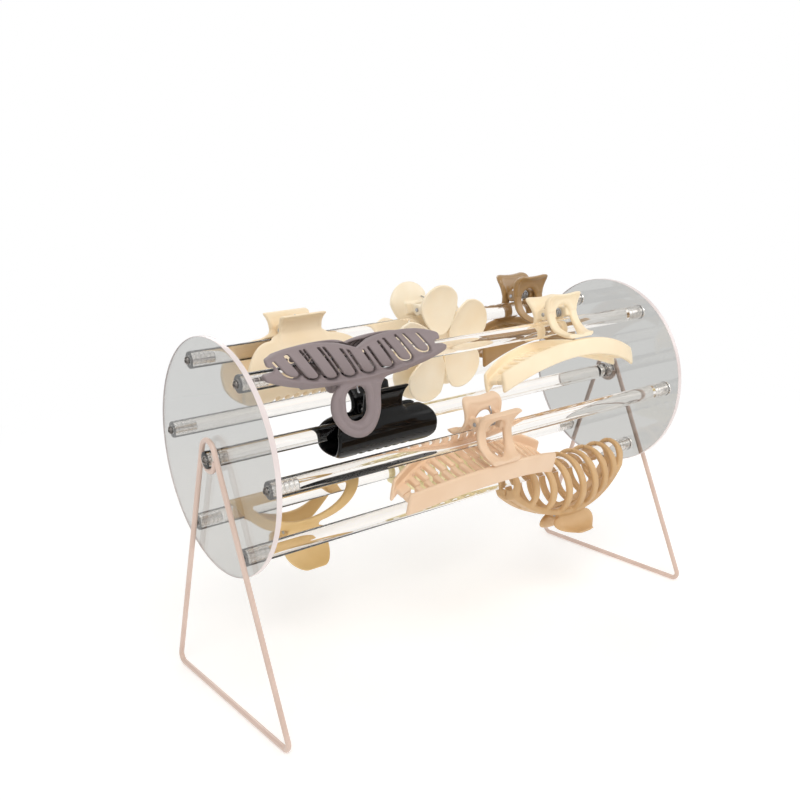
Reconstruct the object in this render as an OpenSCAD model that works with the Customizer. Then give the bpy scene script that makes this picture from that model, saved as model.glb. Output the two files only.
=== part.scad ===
// Rotating hair claw rack: two clear discs, six clear rods and a clear axle
// turn as one drum in the loops of two bent wire stands, and ten hair claws
// hang on the rods. X runs along the axle to the right, Y away from the front,
// Z up from the table. The origin is on the table, midway between the discs.

/* [Drum] */
// Diameter of the clear end discs
disc_d = 128; // [124:1:140]
// Thickness of the clear end discs
disc_t = 3; // [2:0.5:5]
// Length of the rods between the discs
rod_l = 298; // [294:1:320]
// Diameter of the clear rods and of the axle
rod_d = 9.5; // [9:0.1:10]
// Distance from the axle to the centre of each outer rod
rod_pitch_r = 53.8; // [52:0.2:56]
// Turn of the first outer rod about the axle, from the back towards the top
rod_turn = 65.2; // [62:0.2:68]
// Length of the axle that stands out past the wire of each stand
axle_past = 0.8; // [0.4:0.2:3]

/* [Screws] */
// Diameter of the screw heads
head_d = 6.6; // [5:0.2:8]
// Height of the screw heads
head_h = 1.2; // [1:0.2:3]
// Diameter of the screw shanks
shank_d = 3; // [2:0.5:3.5]
// Length of the screw shanks under the head
shank_l = 12; // [8:1:16]
// Outer diameter of the threaded inserts in the rod ends
insert_d = 4.8; // [4.4:0.2:6]
// Length of the threaded inserts
insert_l = 14; // [10:1:20]

/* [Stands] */
// Height of the axle above the table
axle_h = 140.8; // [130:0.1:160]
// Diameter of the stand wire
wire_d = 3; // [2.5:0.5:4]
// Distance between the bottom corners of a stand, front to back
stand_w = 128.8; // [100:0.2:140]
// Bend radius at the bottom corners, to the middle of the wire
corner_r = 4; // [4:1:12]
// Radius of the arch over the axle, to the middle of the wire
arch_r = 7.5; // [7:0.1:9]
// Rise of the arch's centre above the axle
arch_rise = 2.8; // [2:0.2:6]

/* [Claw hinges] */
// Diameter of the hinge pins
pin_d = 2.4; // [2:0.1:2.8]
// Radius of the hinge lugs
lug_r = 3.6; // [3.2:0.1:4]
// Width of each hinge lug
lug_w = 3; // [2.4:0.2:4]
// Diameter of the spring wire
coil_wire = 0.9; // [0.7:0.1:1]
// Radius of the spring coil, to the middle of the wire
coil_r = 2.4; // [2.3:0.1:2.5]
// Distance from one curl of the spring to the next
coil_pitch = 1.5; // [1.5:0.1:1.7]
// Thickness of the claws' moulded plates
shell_t = 2.6; // [2:0.2:3]
// Width of the gaps between the teeth
tooth_gap = 3; // [2:0.2:4]

/* [Plain claws] */
// Length of the cream claw
cream_l = 80; // [74:1:88]
// Depth of the cream claw from its pin to its tips
cream_h = 40; // [36:1:42]
// Bulge of each of the cream claw's jaws from the closing plane
cream_bulge = 15; // [13:0.5:17]
// Height of the cream claw's thumb plates above the pin
cream_fan_h = 9; // [8:0.5:11]
// Bend radius of the cream claw's thumb plates, on the side of the spring
cream_flare_r = 12; // [12:0.5:16]
// Distance of the cream claw's shoulders below its pin
cream_sunk = 4.4; // [4:0.2:5]
// Length of the black claw
black_l = 70; // [66:1:80]
// Depth of the black claw from its pin to its tips
black_h = 25; // [24:1:30]
// Bulge of each of the black claw's jaws from the closing plane
black_bulge = 12.5; // [11:0.5:12.5]
// Height of the black claw's thumb plates above the pin
black_fan_h = 13; // [11:0.5:14]
// Bend radius of the black claw's thumb plates, on the side of the spring
black_flare_r = 20; // [18:1:30]
// Width of the cream claw's thumb plates at the rim
cream_fan_w = 29; // [27:0.5:34]
// Width of the cream claw's thumb plates at the waist
cream_fan_waist = 24; // [22:0.5:25]
// Width of the black claw's thumb plates at the rim
black_fan_w = 31; // [30:1:38]
// Width of the black claw's thumb plates at the waist
black_fan_waist = 27; // [26:0.5:29]

/* [Wave claw] */
// Length of the wave claw's front jaw
wave_l = 114; // [108:1:120]
// Length of the wave claw's rear jaw
wave_rear_l = 78; // [70:1:90]
// Depth of the wave claw from its pin to its tips
wave_h = 29; // [27:1:32]
// Bulge of each of the wave claw's jaws from the closing plane
wave_bulge = 14.5; // [12:0.5:15]
// Height of the wave claw's ringed front thumb plate above the pin
wave_ring_h = 28; // [26:1:32]
// Width of the ring at its root
wave_ring_w = 27; // [24:0.5:30]
// Width of the ring at its far end
wave_end_w = 21; // [18:0.5:24]
// Width of the hole in the ring
wave_hole_w = 10; // [8:0.5:11]
// Height of the wave claw's rear thumb plate above the pin
wave_tab_h = 8; // [7.5:0.5:12]
// Width of the wave claw's rear thumb plate
wave_tab_w = 22; // [21.4:0.2:26]
// Bend radius of the wave claw's thumb plates, on the side of the spring
wave_flare_r = 60; // [40:5:80]
// Width of the slots in the wave claw
wave_slot_w = 2.4; // [2:0.2:3]
// Slots in each half of the wave claw's front jaw
wave_slots = 7; // [5:1:7]
// Lean of the slots from the height of the claw
wave_lean = 28; // [20:1:35]

/* [Flower claw] */
// Distance from the flower's middle to the middle of a petal
petal_ring_r = 26; // [24:0.5:27]
// Radius of a petal
petal_r = 12.8; // [12:0.2:13.6]
// Distance of the flower's middle below the pin
flower_drop = 21.5; // [20:0.5:23]
// Distance of the flower's plate from the pin
flower_out = 13; // [12:0.5:14]
// Lean of the flower's plate towards its closed tips
flower_lean = 9; // [7:1:11]

/* [Arched claws] */
// Length of the khaki arched claw
khaki_l = 86; // [80:1:96]
// Length of the ivory arched claw
ivory_l = 114; // [106:1:120]
// Length of the peach arched claw
peach_l = 111; // [104:1:118]
// Distance of the arched bows from the closing plane, at the middle
bow_out = 19.5; // [18:0.5:20]
// Distance of the arched bows from the closing plane, at the tips
bow_tip_out = 9; // [7:0.5:13]
// Width of the khaki claw's bows
khaki_w = 11; // [9:0.5:12]
// Width of the ivory claw's bows
ivory_w = 10.5; // [9:0.5:12]
// Width of the peach claw's bows
peach_w = 12.5; // [9:0.5:13]
// Distance of the arched bows below the pin, at the middle
bow_top = 17; // [16:0.5:18]
// Drop of the arched bows from their middle to their tips
bow_drop = 12.5; // [10:0.5:16]
// Height of the khaki claw's thumb plates above the pin
khaki_ring_h = 14.5; // [12:0.5:16]
// Height of the ivory claw's thumb plates above the pin
ivory_ring_h = 12.5; // [12:0.5:16]
// Height of the peach claw's thumb plates above the pin
peach_ring_h = 12.5; // [12:0.5:16]
// Width of the arched claws' thumb plates at the rim
ring_w = 28; // [26:0.5:32]
// Width of the hole in an arched claw's thumb plate
ring_hole_w = 12; // [10:0.5:13]
// Bend radius of the arched claws' thumb plates, on the side of the spring
ring_flare_r = 24; // [23:1:26]

/* [Loop claw] */
// Length of the loop claw
loop_l = 86; // [80:1:90]
// Width of the loop claw's frame
loop_band = 6.5; // [5:0.5:8]
// Depth of the loop claw from its pin to its tips
loop_h = 28; // [26:1:32]
// Bulge of each of the loop claw's jaws from the closing plane
loop_bulge = 12; // [11:0.5:14]
// Width of the loop claw's tongue shaped thumb plates
tongue_w = 30; // [26:1:32]
// Height of the loop claw's thumb plates above the pin
tongue_h = 20; // [15:1:22]
// Bend radius of the loop claw's thumb plates, on the side of the spring
tongue_flare_r = 24; // [23:1:34]

/* [Ribbed claws] */
// Length of the ribbed claw
ribbed_l = 101; // [98:1:110]
// Depth of the ribbed claw from its pin to its tips, at the middle
ribbed_h = 40; // [38:1:44]
// Depth of the ribbed claw at its ends
ribbed_end_h = 19; // [17:1:22]
// Ribs in each jaw of the ribbed claw
ribs = 9; // [7:2:9]
// Width of the ribbed claw's thumb plates
paddle_w = 40; // [32:1:42]
// Height of the ribbed claw's thumb plates above the pin
paddle_h = 8.5; // [8:0.5:12.5]
// Length of the pale claw
pale_l = 80; // [74:1:86]
// Depth of the pale claw from its pin to its tips, at the middle
pale_h = 27; // [25:1:30]
// Depth of the pale claw at its ends
pale_end_h = 18; // [17.5:0.5:20]
// Ribs in each jaw of the pale claw
pale_ribs = 9; // [7:2:9]
// Width of the pale claw's thumb plates
pale_paddle_w = 26; // [24:1:30]
// Height of the pale claw's thumb plates above the pin
pale_paddle_h = 9; // [8:0.5:12]
// Width of a rib of the ribbed claw
rib_w = 4.8; // [3:0.2:5]
// Width of a rib of the pale claw
pale_rib_w = 4; // [3:0.2:5]
// Bend radius of the ribbed and pale claws' thumb plates, on the side of the spring
paddle_flare_r = 13; // [13:0.5:20]

/* [Places of the claws] */
// From the left disc to the middle of the cream claw
cream_from_left = 64; // [50:1:75]
// From the left disc to the middle of the wave claw
wave_from_left = 64; // [60:1:75]
// From the left disc to the middle of the black claw
black_from_left = 102; // [90:1:112]
// From the left disc to the middle of the flower claw
flower_from_left = 162; // [155:1:175]
// From the left disc to the middle of the peach claw
peach_from_left = 138; // [125:1:145]
// From the left disc to the middle of the loop claw
loop_from_left = 62; // [50:1:75]
// From the right disc to the middle of the khaki claw
khaki_from_right = 56; // [46:1:60]
// From the right disc to the middle of the ivory claw
ivory_from_right = 79; // [65:1:85]
// From the right disc to the middle of the ribbed claw
ribbed_from_right = 67; // [60:1:75]
// From the right disc to the middle of the pale claw
pale_from_right = 123; // [118:1:128]
// Turn of the wave claw, from thumb plates up towards the front
wave_tilt = 188; // [180:1:190]
// Turn of the ivory claw
ivory_tilt = -9; // [-12:1:5]
// Turn of the peach claw
peach_tilt = 18; // [10:1:28]
// Turn of the ribbed claw
ribbed_tilt = 172; // [168:1:180]

/* [Hidden] */

// Clearances
seat_gap = 0.35;     // between a claw and the rod that it sits on
run_gap = 0.08;      // round a shaft or pin that turns
side_gap = 0.4;      // between neighbouring lugs and round the spring
seam = 0.25;         // from each jaw's tips to the closing plane
screw_gap = 0.2;     // round a shank in a disc
knee_swell = 1.01;   // of the wire where its bends start and end

// Places that follow from the sizes above
rod_r = rod_d / 2;
pin_r = pin_d / 2;
wire_r = wire_d / 2;
disc_x = rod_l / 2;                      // inner face of each disc
end_x = disc_x + disc_t;                 // outer face of each disc
stand_x = end_x + head_h + side_gap + wire_r;        // middle of each stand's wire
axle_end = stand_x + wire_r + axle_past;             // outer end of the axle
seat_drop = lug_r + seat_gap + rod_r;    // from a pin to the rod below its lugs
tip_drop = shell_t + seat_gap + rod_r;   // from the closed tips to the rod that they hang on
ring_foot = bow_top + 3;                 // foot of an arched claw's thumb plate below its pin
curls = 4.5;                             // curls of each spring
coil_l = curls * coil_pitch;
spring_foot = 2.6 * coil_r;              // height above the pin at which a spring's legs rest
inner_lug_x = (coil_l + coil_wire) / 2 + side_gap;   // start of the inner lugs
outer_lug_x = inner_lug_x + lug_w + side_gap;        // start of the outer lugs
pin_l = 2 * (outer_lug_x + lug_w + side_gap);
hinge_keep = lug_r + side_gap;           // radius kept free round each pin
thumb_y = hinge_keep + 0.2;              // spring side of a thumb plate at the pin
far = 400;                               // longer than any cut that it makes

function rod_a(k) = rod_turn + 60 * (k - 1);
function rod_y(k) = k == 0 ? 0 : rod_pitch_r * cos(rod_a(k));
function rod_z(k) = axle_h + (k == 0 ? 0 : rod_pitch_r * sin(rod_a(k)));
// Radius of the arc with this half chord and this rise
function arc_r(half, rise) = (half * half + rise * rise) / (2 * rise);

// Middles of the claws
cream_x = -disc_x + cream_from_left;
wave_x = -disc_x + wave_from_left;
black_x = -disc_x + black_from_left;
flower_x = -disc_x + flower_from_left;
peach_x = -disc_x + peach_from_left;
loop_x = -disc_x + loop_from_left;
khaki_x = disc_x - khaki_from_right;
ivory_x = disc_x - ivory_from_right;
ribbed_x = disc_x - ribbed_from_right;
pale_x = disc_x - pale_from_right;

// Colours
clear = [0.86, 0.9, 0.93, 0.4];
rose = "#E8D3CA";
steel = "#B9BABC";
cream = "#F7E3C2";
taupe = "#8F8283";
black = "#17171A";
khaki = "#B08C58";
ivory = "#FAE6BF";
peach = "#EFCFAE";
straw = "#DDBB80";
sand = "#D2AD7C";
pale = "#E9DDAE";

// Draws a Y-Z outline as a bar along X, from the middle out
module along_x(length) rotate([90, 0, 90]) linear_extrude(length, center = true) children();

// Draws an X-Z outline as a bar along Y, from the middle out
module along_y(length) rotate([90, 0, 0]) linear_extrude(length, center = true) children();

// A round bar along X from x0 to x1
module bar_x(r, x0, x1) translate([x0, 0, 0]) rotate([0, 90, 0]) cylinder(r = r, h = x1 - x0, $fn = 48);

// Repeats its children at each outer rod and at the axle
module at_rods(first) for (k = [first:6]) translate([0, rod_y(k), rod_z(k)]) children();

// Clear parts of the drum
module disc(side) color(clear) difference() {
    translate([side * (disc_x + disc_t / 2), 0, axle_h]) rotate([0, 90, 0])
        cylinder(d = disc_d, h = disc_t, center = true, $fn = 180);
    translate([0, 0, axle_h]) bar_x(rod_r, -far, far);
    at_rods(1) bar_x(shank_d / 2 + screw_gap, -far, far);
}

module left_disc() disc(-1);

module right_disc() disc(1);

// A rod with a blind bore for the insert at each end
module clear_rod(k, half) color(clear) translate([0, rod_y(k), rod_z(k)]) difference() {
    bar_x(rod_r, -half, half);
    for (side = [-1, 1]) translate([side * half, 0, 0]) bar_x(insert_d / 2, -insert_l, insert_l);
}

module rod_1() clear_rod(1, disc_x);

module rod_2() clear_rod(2, disc_x);

module rod_3() clear_rod(3, disc_x);

module rod_4() clear_rod(4, disc_x);

module rod_5() clear_rod(5, disc_x);

module rod_6() clear_rod(6, disc_x);

module axle() clear_rod(0, axle_end);

// One pan head screw with a cross recess, its head's seat at x = 0
module screw() difference() {
    union() {
        bar_x(shank_d / 2, -0.01, shank_l);
        translate([-head_h / 2, 0, 0]) bar_x(head_d / 2, 0, head_h / 2);
        translate([-head_h, 0, 0]) rotate([0, 90, 0])
            cylinder(r1 = head_d / 2 - head_h / 2, r2 = head_d / 2, h = head_h / 2, $fn = 48);
    }
    for (turn = [20, 110]) rotate([turn, 0, 0])
        translate([-head_h * 0.9, 0, 0]) cube([head_h * 0.9, head_d * 0.16, head_d * 0.66], center = true);
}

// Seven screws at one end: six in the disc and one in the end of the axle
module screws(side) color(steel) {
    at_rods(1) translate([side * end_x, 0, 0]) mirror([side > 0 ? 1 : 0, 0, 0]) screw();
    translate([side * axle_end, 0, axle_h]) mirror([side > 0 ? 1 : 0, 0, 0]) screw();
}

module left_screws() screws(-1);

module right_screws() screws(1);

// One threaded insert, its open face at x = 0
module insert() difference() {
    bar_x(insert_d / 2, 0, insert_l);
    bar_x(shank_d / 2, -1, insert_l - 1);
}

module inserts(side) color(steel) {
    at_rods(1) translate([side * disc_x, 0, 0]) mirror([side > 0 ? 1 : 0, 0, 0]) insert();
    translate([side * axle_end, 0, axle_h]) mirror([side > 0 ? 1 : 0, 0, 0]) insert();
}

module left_inserts() inserts(-1);

module right_inserts() inserts(1);

// A bent length of the stand's wire in the Y-Z plane, from angle a0 to a1
module wire_arc(y, z, r, a0, a1) translate([0, y, z]) rotate([90, 0, 90]) rotate([0, 0, a0])
    rotate_extrude(angle = a1 - a0, $fn = 96) translate([r, 0]) circle(wire_r, $fn = 32);

// A straight length of the stand's wire in the Y-Z plane
module wire_run(y0, z0, y1, z1) {
    run = norm([y1 - y0, z1 - z0]);
    translate([0, y0, z0]) rotate([-atan2(y1 - y0, z1 - z0), 0, 0]) cylinder(r = wire_r, h = run, $fn = 32);
}

// A ball a shade thicker than the wire, which merges a bend with the run that it meets
module wire_knee(y, z) translate([0, y, z]) sphere(wire_r * knee_swell, $fn = 32);

// One stand: an arch over the axle, two legs, the base, and the saddle that carries the axle
module stand(side) color(rose) translate([side * stand_x, 0, 0]) {
    half = stand_w / 2;
    arch_z = axle_h + arch_rise;
    saddle_r = rod_r + run_gap + wire_r;
    reach = norm([half, arch_z - wire_r]);
    slope = atan2(arch_z - wire_r, half) + asin(arch_r / reach);     // of a leg, from the table
    set_in = corner_r * tan((180 - slope) / 2);                      // from a corner to its bend's ends
    for (s = [-1, 1]) {
        foot = [s * (half - set_in * cos(slope)), wire_r + set_in * sin(slope)];
        top = [s * arch_r * sin(slope), arch_z + arch_r * cos(slope)];
        wire_run(foot[0], foot[1], top[0], top[1]);
        for (end = [foot, top, [s * (half - set_in), wire_r]]) wire_knee(end[0], end[1]);
    }
    wire_run(-(half - set_in), wire_r, half - set_in, wire_r);
    wire_arc(half - set_in, wire_r + corner_r, corner_r, -90, 90 - slope);
    wire_arc(-(half - set_in), wire_r + corner_r, corner_r, 90 + slope, 270);
    wire_arc(0, arch_z, arch_r, 90 - slope, 90 + slope);
    wire_arc(0, axle_h, saddle_r, 180, 360);
}

module left_stand() stand(-1);

module right_stand() stand(1);

// Puts a claw on rod k: tilt turns its thumb plates from straight up towards the front,
// and drop is the distance from its pin to the rod
module on_rod(k, x, tilt, drop) translate([x, rod_y(k), rod_z(k)]) rotate([tilt, 0, 0])
    translate([0, 0, drop]) children();

// In all that follows the pin lies along X at the origin, thumb plates are up, tips down,
// and a jaw is drawn on the side of -Y

// Flips a jaw to the side it belongs to
module on_side(side) mirror([0, side > 0 ? 1 : 0, 0]) children();

// The two lugs of a jaw and the webs that join them to its plates, which start at web_y
module lugs(inner, web_y) {
    x0 = inner ? inner_lug_x : outer_lug_x;
    for (s = [-1, 1]) translate([s * (x0 + lug_w / 2), 0, 0]) {
        bar_x(lug_r, -lug_w / 2, lug_w / 2);
        translate([0, -web_y / 2, 0]) cube([lug_w, web_y, lug_r * 1.5], center = true);
    }
}

// Bores a jaw's lugs for its pin
module pin_bore(inner) bar_x(pin_r + (inner ? run_gap : 0), -far, far);

// Cross section of a jaw from its pin down to its tips at depth h, open to the closing plane
module jaw_section(h, bulge) {
    r = arc_r(h / 2, bulge);
    intersection() {
        translate([r - bulge, -h / 2]) difference() {
            circle(r, $fn = 120);
            circle(r - shell_t, $fn = 120);
        }
        translate([-far, -h]) square([far - seam, h]);
    }
}

// Cross section of a thumb plate that flares at radius r, from foot below the pin; its outline
// ends it above
module thumb_section(foot, r) intersection() {
    translate([-thumb_y - r, 0]) difference() {
        circle(r, $fn = 120);
        circle(r - shell_t, $fn = 120);
    }
    translate([-thumb_y - r, -foot]) square([r, far / 2]);
}

// Outline of a fan shaped thumb plate that starts at foot below the pin; fan gives its height
// above the pin, its width and its waist
module fan_outline(fan, foot) {
    r = arc_r((fan[0] + foot) / 2, (fan[1] - fan[2]) / 2);
    difference() {
        translate([-fan[1] / 2, -foot]) square([fan[1], fan[0] + foot]);
        for (s = [-1, 1]) translate([s * (fan[2] / 2 + r), (fan[0] - foot) / 2]) circle(r, $fn = 96);
    }
}

// Outline of a paddle shaped thumb plate: an arc from side to side
module paddle_outline(w, h) {
    r = arc_r(w / 2, h + lug_r);
    intersection() {
        translate([0, h - r]) circle(r, $fn = 120);
        translate([-w / 2, -lug_r]) square([w, h + lug_r]);
    }
}

// Outline of a tongue shaped thumb plate
module tongue_outline(w, h) {
    corner = min(w / 2, h / 2) * 0.98;
    for (s = [-1, 1]) translate([s * (w / 2 - corner), h - corner]) circle(corner, $fn = 64);
    translate([-(w / 2 - corner), h / 2]) square([w - 2 * corner, h / 2]);
    translate([-w / 2, 0]) square([w, h - corner]);
    translate([-outer_lug_x - lug_w, -lug_r]) square([2 * (outer_lug_x + lug_w), h / 2 + lug_r]);
}

// Outline of a drop shaped ring of height h: two circles with their tangents, and a hole
module ring_outline() {
    near_r = wave_ring_w / 2;
    end_r = wave_end_w / 2;
    near_z = near_r - lug_r;
    end_z = wave_ring_h - end_r;
    slope = asin((near_r - end_r) / (end_z - near_z));
    hole_foot = end_z - 3.5;                     // centre of the hole's lower end
    difference() {
        union() {
            translate([0, near_z]) circle(near_r, $fn = 96);
            translate([0, end_z]) circle(end_r, $fn = 96);
            polygon([for (p = [[-1, near_r, near_z], [1, near_r, near_z], [1, end_r, end_z], [-1, end_r, end_z]])
                [p[0] * p[1] * cos(slope), p[2] + p[1] * sin(slope)]]);
        }
        for (z = [hole_foot, end_z]) translate([0, z]) circle(wave_hole_w / 2, $fn = 64);
        translate([-wave_hole_w / 2, hole_foot]) square([wave_hole_w, end_z - hole_foot]);
    }
}

// A flared thumb plate cut to the outline that is its child, with room for the hinge
module thumb(foot, r) difference() {
    intersection() {
        along_x(far) thumb_section(foot, r);
        translate([0, -far / 2, 0]) along_y(far) children();
    }
    bar_x(hinge_keep, -far, far);
}

// Gaps between teeth along the tips of a jaw at height z
module tooth_gaps(length, z, height, shift) {
    pitch = tooth_gap * 2;
    n = floor(length / pitch / 2);
    for (i = [-n:n]) translate([i * pitch + shift, -far / 2, z + height / 2])
        cube([tooth_gap, far, height], center = true);
}

// A jaw with smooth plates: rounded plate with its shoulders sunk below the pin, short teeth and
// a fan shaped thumb plate
module plain_jaw(side, inner, length, h, bulge, fan, flare_r, sunk = 0) on_side(side) difference() {
    tooth_h = h * 0.12;
    fan_foot = max(sunk + 1, lug_r);
    union() {
        difference() {
            intersection() {
                along_x(length) jaw_section(h, bulge);
                translate([0, -far / 2, 0]) along_y(far) {
                    plain_outline(length, h, sunk);
                    if (sunk > 0) fan_outline(fan, fan_foot);
                }
            }
            bar_x(hinge_keep, -far, far);
            tooth_gaps(length - h, -h - 1, tooth_h + 1, side > 0 ? tooth_gap / 2 : 0);
        }
        thumb(lug_r, flare_r) fan_outline(fan, fan_foot);
        lugs(inner, thumb_y + shell_t / 2);
    }
    pin_bore(inner);
}

// Outline of a smooth jaw of depth h: rounded shoulders, sunk below the pin, and rounded corners
module plain_outline(length, h, sunk) {
    corner = h * 0.3;
    shoulder = h * 0.5;
    for (s = [-1, 1]) {
        translate([s * (length / 2 - corner), corner - h]) circle(corner, $fn = 64);
        translate([s * (length / 2 - shoulder), -shoulder - sunk]) circle(shoulder, $fn = 96);
    }
    translate([-length / 2, corner - h]) square([length, h - corner - shoulder - sunk]);
    translate([-(length / 2 - shoulder), -h]) square([length - 2 * shoulder, h - sunk]);
    translate([-(length / 2 - corner), -h]) square([length - 2 * corner, corner]);
}

// Outline of a jaw of the wave claw: two leaves with forked ends
module wave_outline(length) {
    half = length / 2;
    h = wave_h;
    leaf_rise = h * 0.2;
    leaf_r = arc_r(half / 2, leaf_rise);
    back_rise = h * 0.52;
    back_r = arc_r(half, back_rise);
    difference() {
        intersection() {
            translate([0, 1 - back_r]) circle(back_r, $fn = 180);
            for (s = [-1, 1]) translate([s * half / 2, -h + leaf_r]) circle(leaf_r, $fn = 180);
            translate([-half, -far]) square([2 * half, 2 * far]);
        }
        for (s = [-1, 1]) translate([s * half, -h * 0.58])
            polygon([[-s * h * 0.2, 0], [s, -h * 0.14], [s, h * 0.1]]);
    }
}

// Leaning slots of a jaw of the wave claw, slots of them in each half, with round ends
module wave_slot_outline(length, slots, lean) {
    slot_step = length / (2 * slots + 4);
    for (i = [-slots:slots]) if (i != 0) {
        x = i * slot_step;
        reach = wave_h * (0.7 - 0.4 * pow(2 * x / length, 2));
        translate([x, -wave_h * 0.56]) rotate([0, 0, lean]) {
            translate([-wave_slot_w / 2, -reach / 2]) square([wave_slot_w, reach]);
            for (e = [-1, 1]) translate([0, e * reach / 2]) circle(wave_slot_w / 2, $fn = 24);
        }
    }
}

// A jaw of the wave claw, with its thumb plate as its child
module wave_jaw(side, inner, length, slots) on_side(side) difference() {
    union() {
        difference() {
            intersection() {
                along_x(length) jaw_section(wave_h, wave_bulge);
                translate([0, -far / 2, 0]) along_y(far) difference() {
                    wave_outline(length);
                    wave_slot_outline(length, slots, -side * wave_lean);
                }
            }
            bar_x(hinge_keep, -far, far);
        }
        children();
        lugs(inner, thumb_y + shell_t / 2);
    }
    pin_bore(inner);
}

// Outline of the flower: five petals round a middle
module flower_outline() {
    for (i = [0:4]) rotate([0, 0, 30 + 72 * i]) translate([petal_ring_r, 0]) circle(petal_r, $fn = 72);
    circle(petal_ring_r * 0.72, $fn = 72);
}

// A jaw of the flower claw: a flat flower that leans in at the tips, with prongs behind it
module flower_jaw(side, inner) on_side(side) {
    prong_l = flower_out - 3.4 - seam;
    bridge = outer_lug_x + lug_w;
    difference() {
        union() {
            translate([0, -flower_out, 0]) rotate([flower_lean, 0, 0]) {
                translate([0, -shell_t / 2, -flower_drop]) along_y(shell_t) flower_outline();
                for (i = [-1, 1]) translate([i * 2 * tooth_gap - 1.5 + side * 1.5, 0, -flower_drop * 1.7])
                    cube([tooth_gap, prong_l * 0.5, tooth_gap]);
            }
            translate([-bridge, -flower_out - shell_t / 4, -lug_r]) cube([2 * bridge, shell_t, 2 * lug_r]);
            lugs(inner, flower_out + shell_t / 4);
        }
        pin_bore(inner);
    }
}

// Outline of an arched claw's thumb plate: a ring with a hollowed rim and horned corners, h above
// the pin
module horned_outline(h) {
    belly = ring_w * 0.43;
    horn_r = 3;
    hole_r = ring_hole_w / 2;
    hole_top = spring_foot - coil_wire - 1.3 - hole_r;     // centre of the hole's upper end
    hole_foot = hole_r + 6 - ring_foot;                    // centre of its lower end
    difference() {
        union() {
            translate([0, belly - ring_foot]) circle(belly, $fn = 96);
            polygon([[-belly, belly - ring_foot], [belly, belly - ring_foot], [belly, -2],
                [ring_w / 2, h - horn_r], [-ring_w / 2, h - horn_r], [-belly, -2]]);
            for (s = [-1, 1]) translate([s * (ring_w / 2 - horn_r / 2), h - horn_r]) circle(horn_r, $fn = 48);
        }
        translate([0, h + ring_w * 0.9]) circle(ring_w, $fn = 120);
        for (z = [hole_top, hole_foot]) translate([0, z]) circle(hole_r, $fn = 64);
        translate([-hole_r, hole_foot]) square([ring_hole_w, hole_top - hole_foot]);
    }
}

// Arched strip between the bow's upper edge and a line that lies w below it
module arch_strip(length, w) {
    r = arc_r(length / 2, bow_drop);
    intersection() {
        translate([0, -bow_top - r]) difference() {
            circle(r, $fn = 240);
            circle(r - w, $fn = 240);
        }
        translate([-length / 2, -bow_top - r]) square([length, r]);
    }
}

// Space behind a bow, seen from above, out to the distance inset from its face
module bow_plan(length, inset) {
    r = arc_r(length / 2, bow_out - bow_tip_out);
    intersection() {
        translate([0, r - bow_out]) circle(r - inset, $fn = 240);
        translate([-length / 2, -far]) square([length, far - seam]);
    }
}

// A jaw of an arched claw: a curved bow of width w, a comb of teeth behind it and a horned
// thumb plate of height h
module arched_jaw(side, inner, length, w, h) on_side(side) difference() {
    union() {
        intersection() {
            translate([0, -far / 2, 0]) along_y(far) arch_strip(length, w);
            translate([0, 0, -far]) linear_extrude(2 * far) difference() {
                bow_plan(length, 0);
                bow_plan(length, shell_t);
            }
        }
        difference() {
            intersection() {
                translate([0, -far / 2, -w * 0.45]) along_y(far) arch_strip(length - 4, shell_t);
                translate([0, 0, -far]) linear_extrude(2 * far) bow_plan(length, shell_t / 2);
            }
            comb_cut(length, side);
        }
        thumb(ring_foot + 1, ring_flare_r) horned_outline(h);
        lugs(inner, thumb_y + shell_t / 2);
    }
    pin_bore(inner);
}

// Gaps that part an arched claw's comb into teeth
module comb_cut(length, side) {
    pitch = 2 * tooth_gap;
    n = floor((length / 2 - 6) / pitch);
    r = arc_r(length / 2, bow_out - bow_tip_out);
    for (i = [-n:n]) {
        x = i * pitch + (side > 0 ? tooth_gap / 2 : 0);
        root = r - bow_out - sqrt(pow(r - shell_t - 1.5, 2) - x * x);
        translate([x - tooth_gap / 2, root, -far]) cube([tooth_gap, far, 2 * far]);
    }
}

// Outline of the loop claw: a half moon frame
module loop_outline() {
    top = -lug_r * 0.4;
    r = arc_r(loop_l / 2, loop_h + top);
    difference() {
        intersection() {
            translate([0, top - r]) circle(r, $fn = 160);
            translate([-far, -loop_h - 1]) square([2 * far, far]);
        }
        intersection() {
            translate([0, top - r]) circle(r - loop_band, $fn = 160);
            translate([-far, loop_band * 0.7 - loop_h]) square([2 * far, far]);
        }
    }
}

// A jaw of the loop claw
module loop_jaw(side, inner) on_side(side) difference() {
    union() {
        difference() {
            intersection() {
                along_x(far) jaw_section(loop_h, loop_bulge);
                translate([0, -far / 2, 0]) along_y(far) loop_outline();
            }
            bar_x(hinge_keep, -far, far);
        }
        thumb(lug_r, tongue_flare_r) tongue_outline(tongue_w, tongue_h);
        lugs(inner, thumb_y + shell_t / 2);
    }
    pin_bore(inner);
}

// A jaw of a ribbed claw: count half round ribs of width w that hang from an arched back
module ribbed_jaw(side, inner, length, h, end_h, count, w, paddle) on_side(side) {
    half = length / 2;
    back_r = arc_r(half, h - end_h);
    difference() {
        union() {
            difference() {
                union() {
                    for (i = [0:count - 1]) {
                        x = (i - (count - 1) / 2) * (length - w) / (count - 1);
                        depth = h - (h - end_h) * pow(x / half, 2);
                        translate([x, 0, depth - h]) along_x(w) jaw_section(depth, depth / 2);
                    }
                    intersection() {
                        translate([0, -lug_r * 1.2 - seam, 0]) along_y(lug_r * 2.4) difference() {
                            translate([0, -back_r]) circle(back_r, $fn = 200);
                            translate([0, -back_r]) circle(back_r - shell_t * 1.3, $fn = 200);
                        }
                        translate([-half, -far, -back_r]) cube([length, far, far]);
                    }
                }
                bar_x(hinge_keep, -far, far);
            }
            thumb(lug_r, paddle_flare_r) paddle_outline(paddle[0], paddle[1]);
            lugs(inner, thumb_y + shell_t / 2);
        }
        pin_bore(inner);
    }
}

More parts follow.
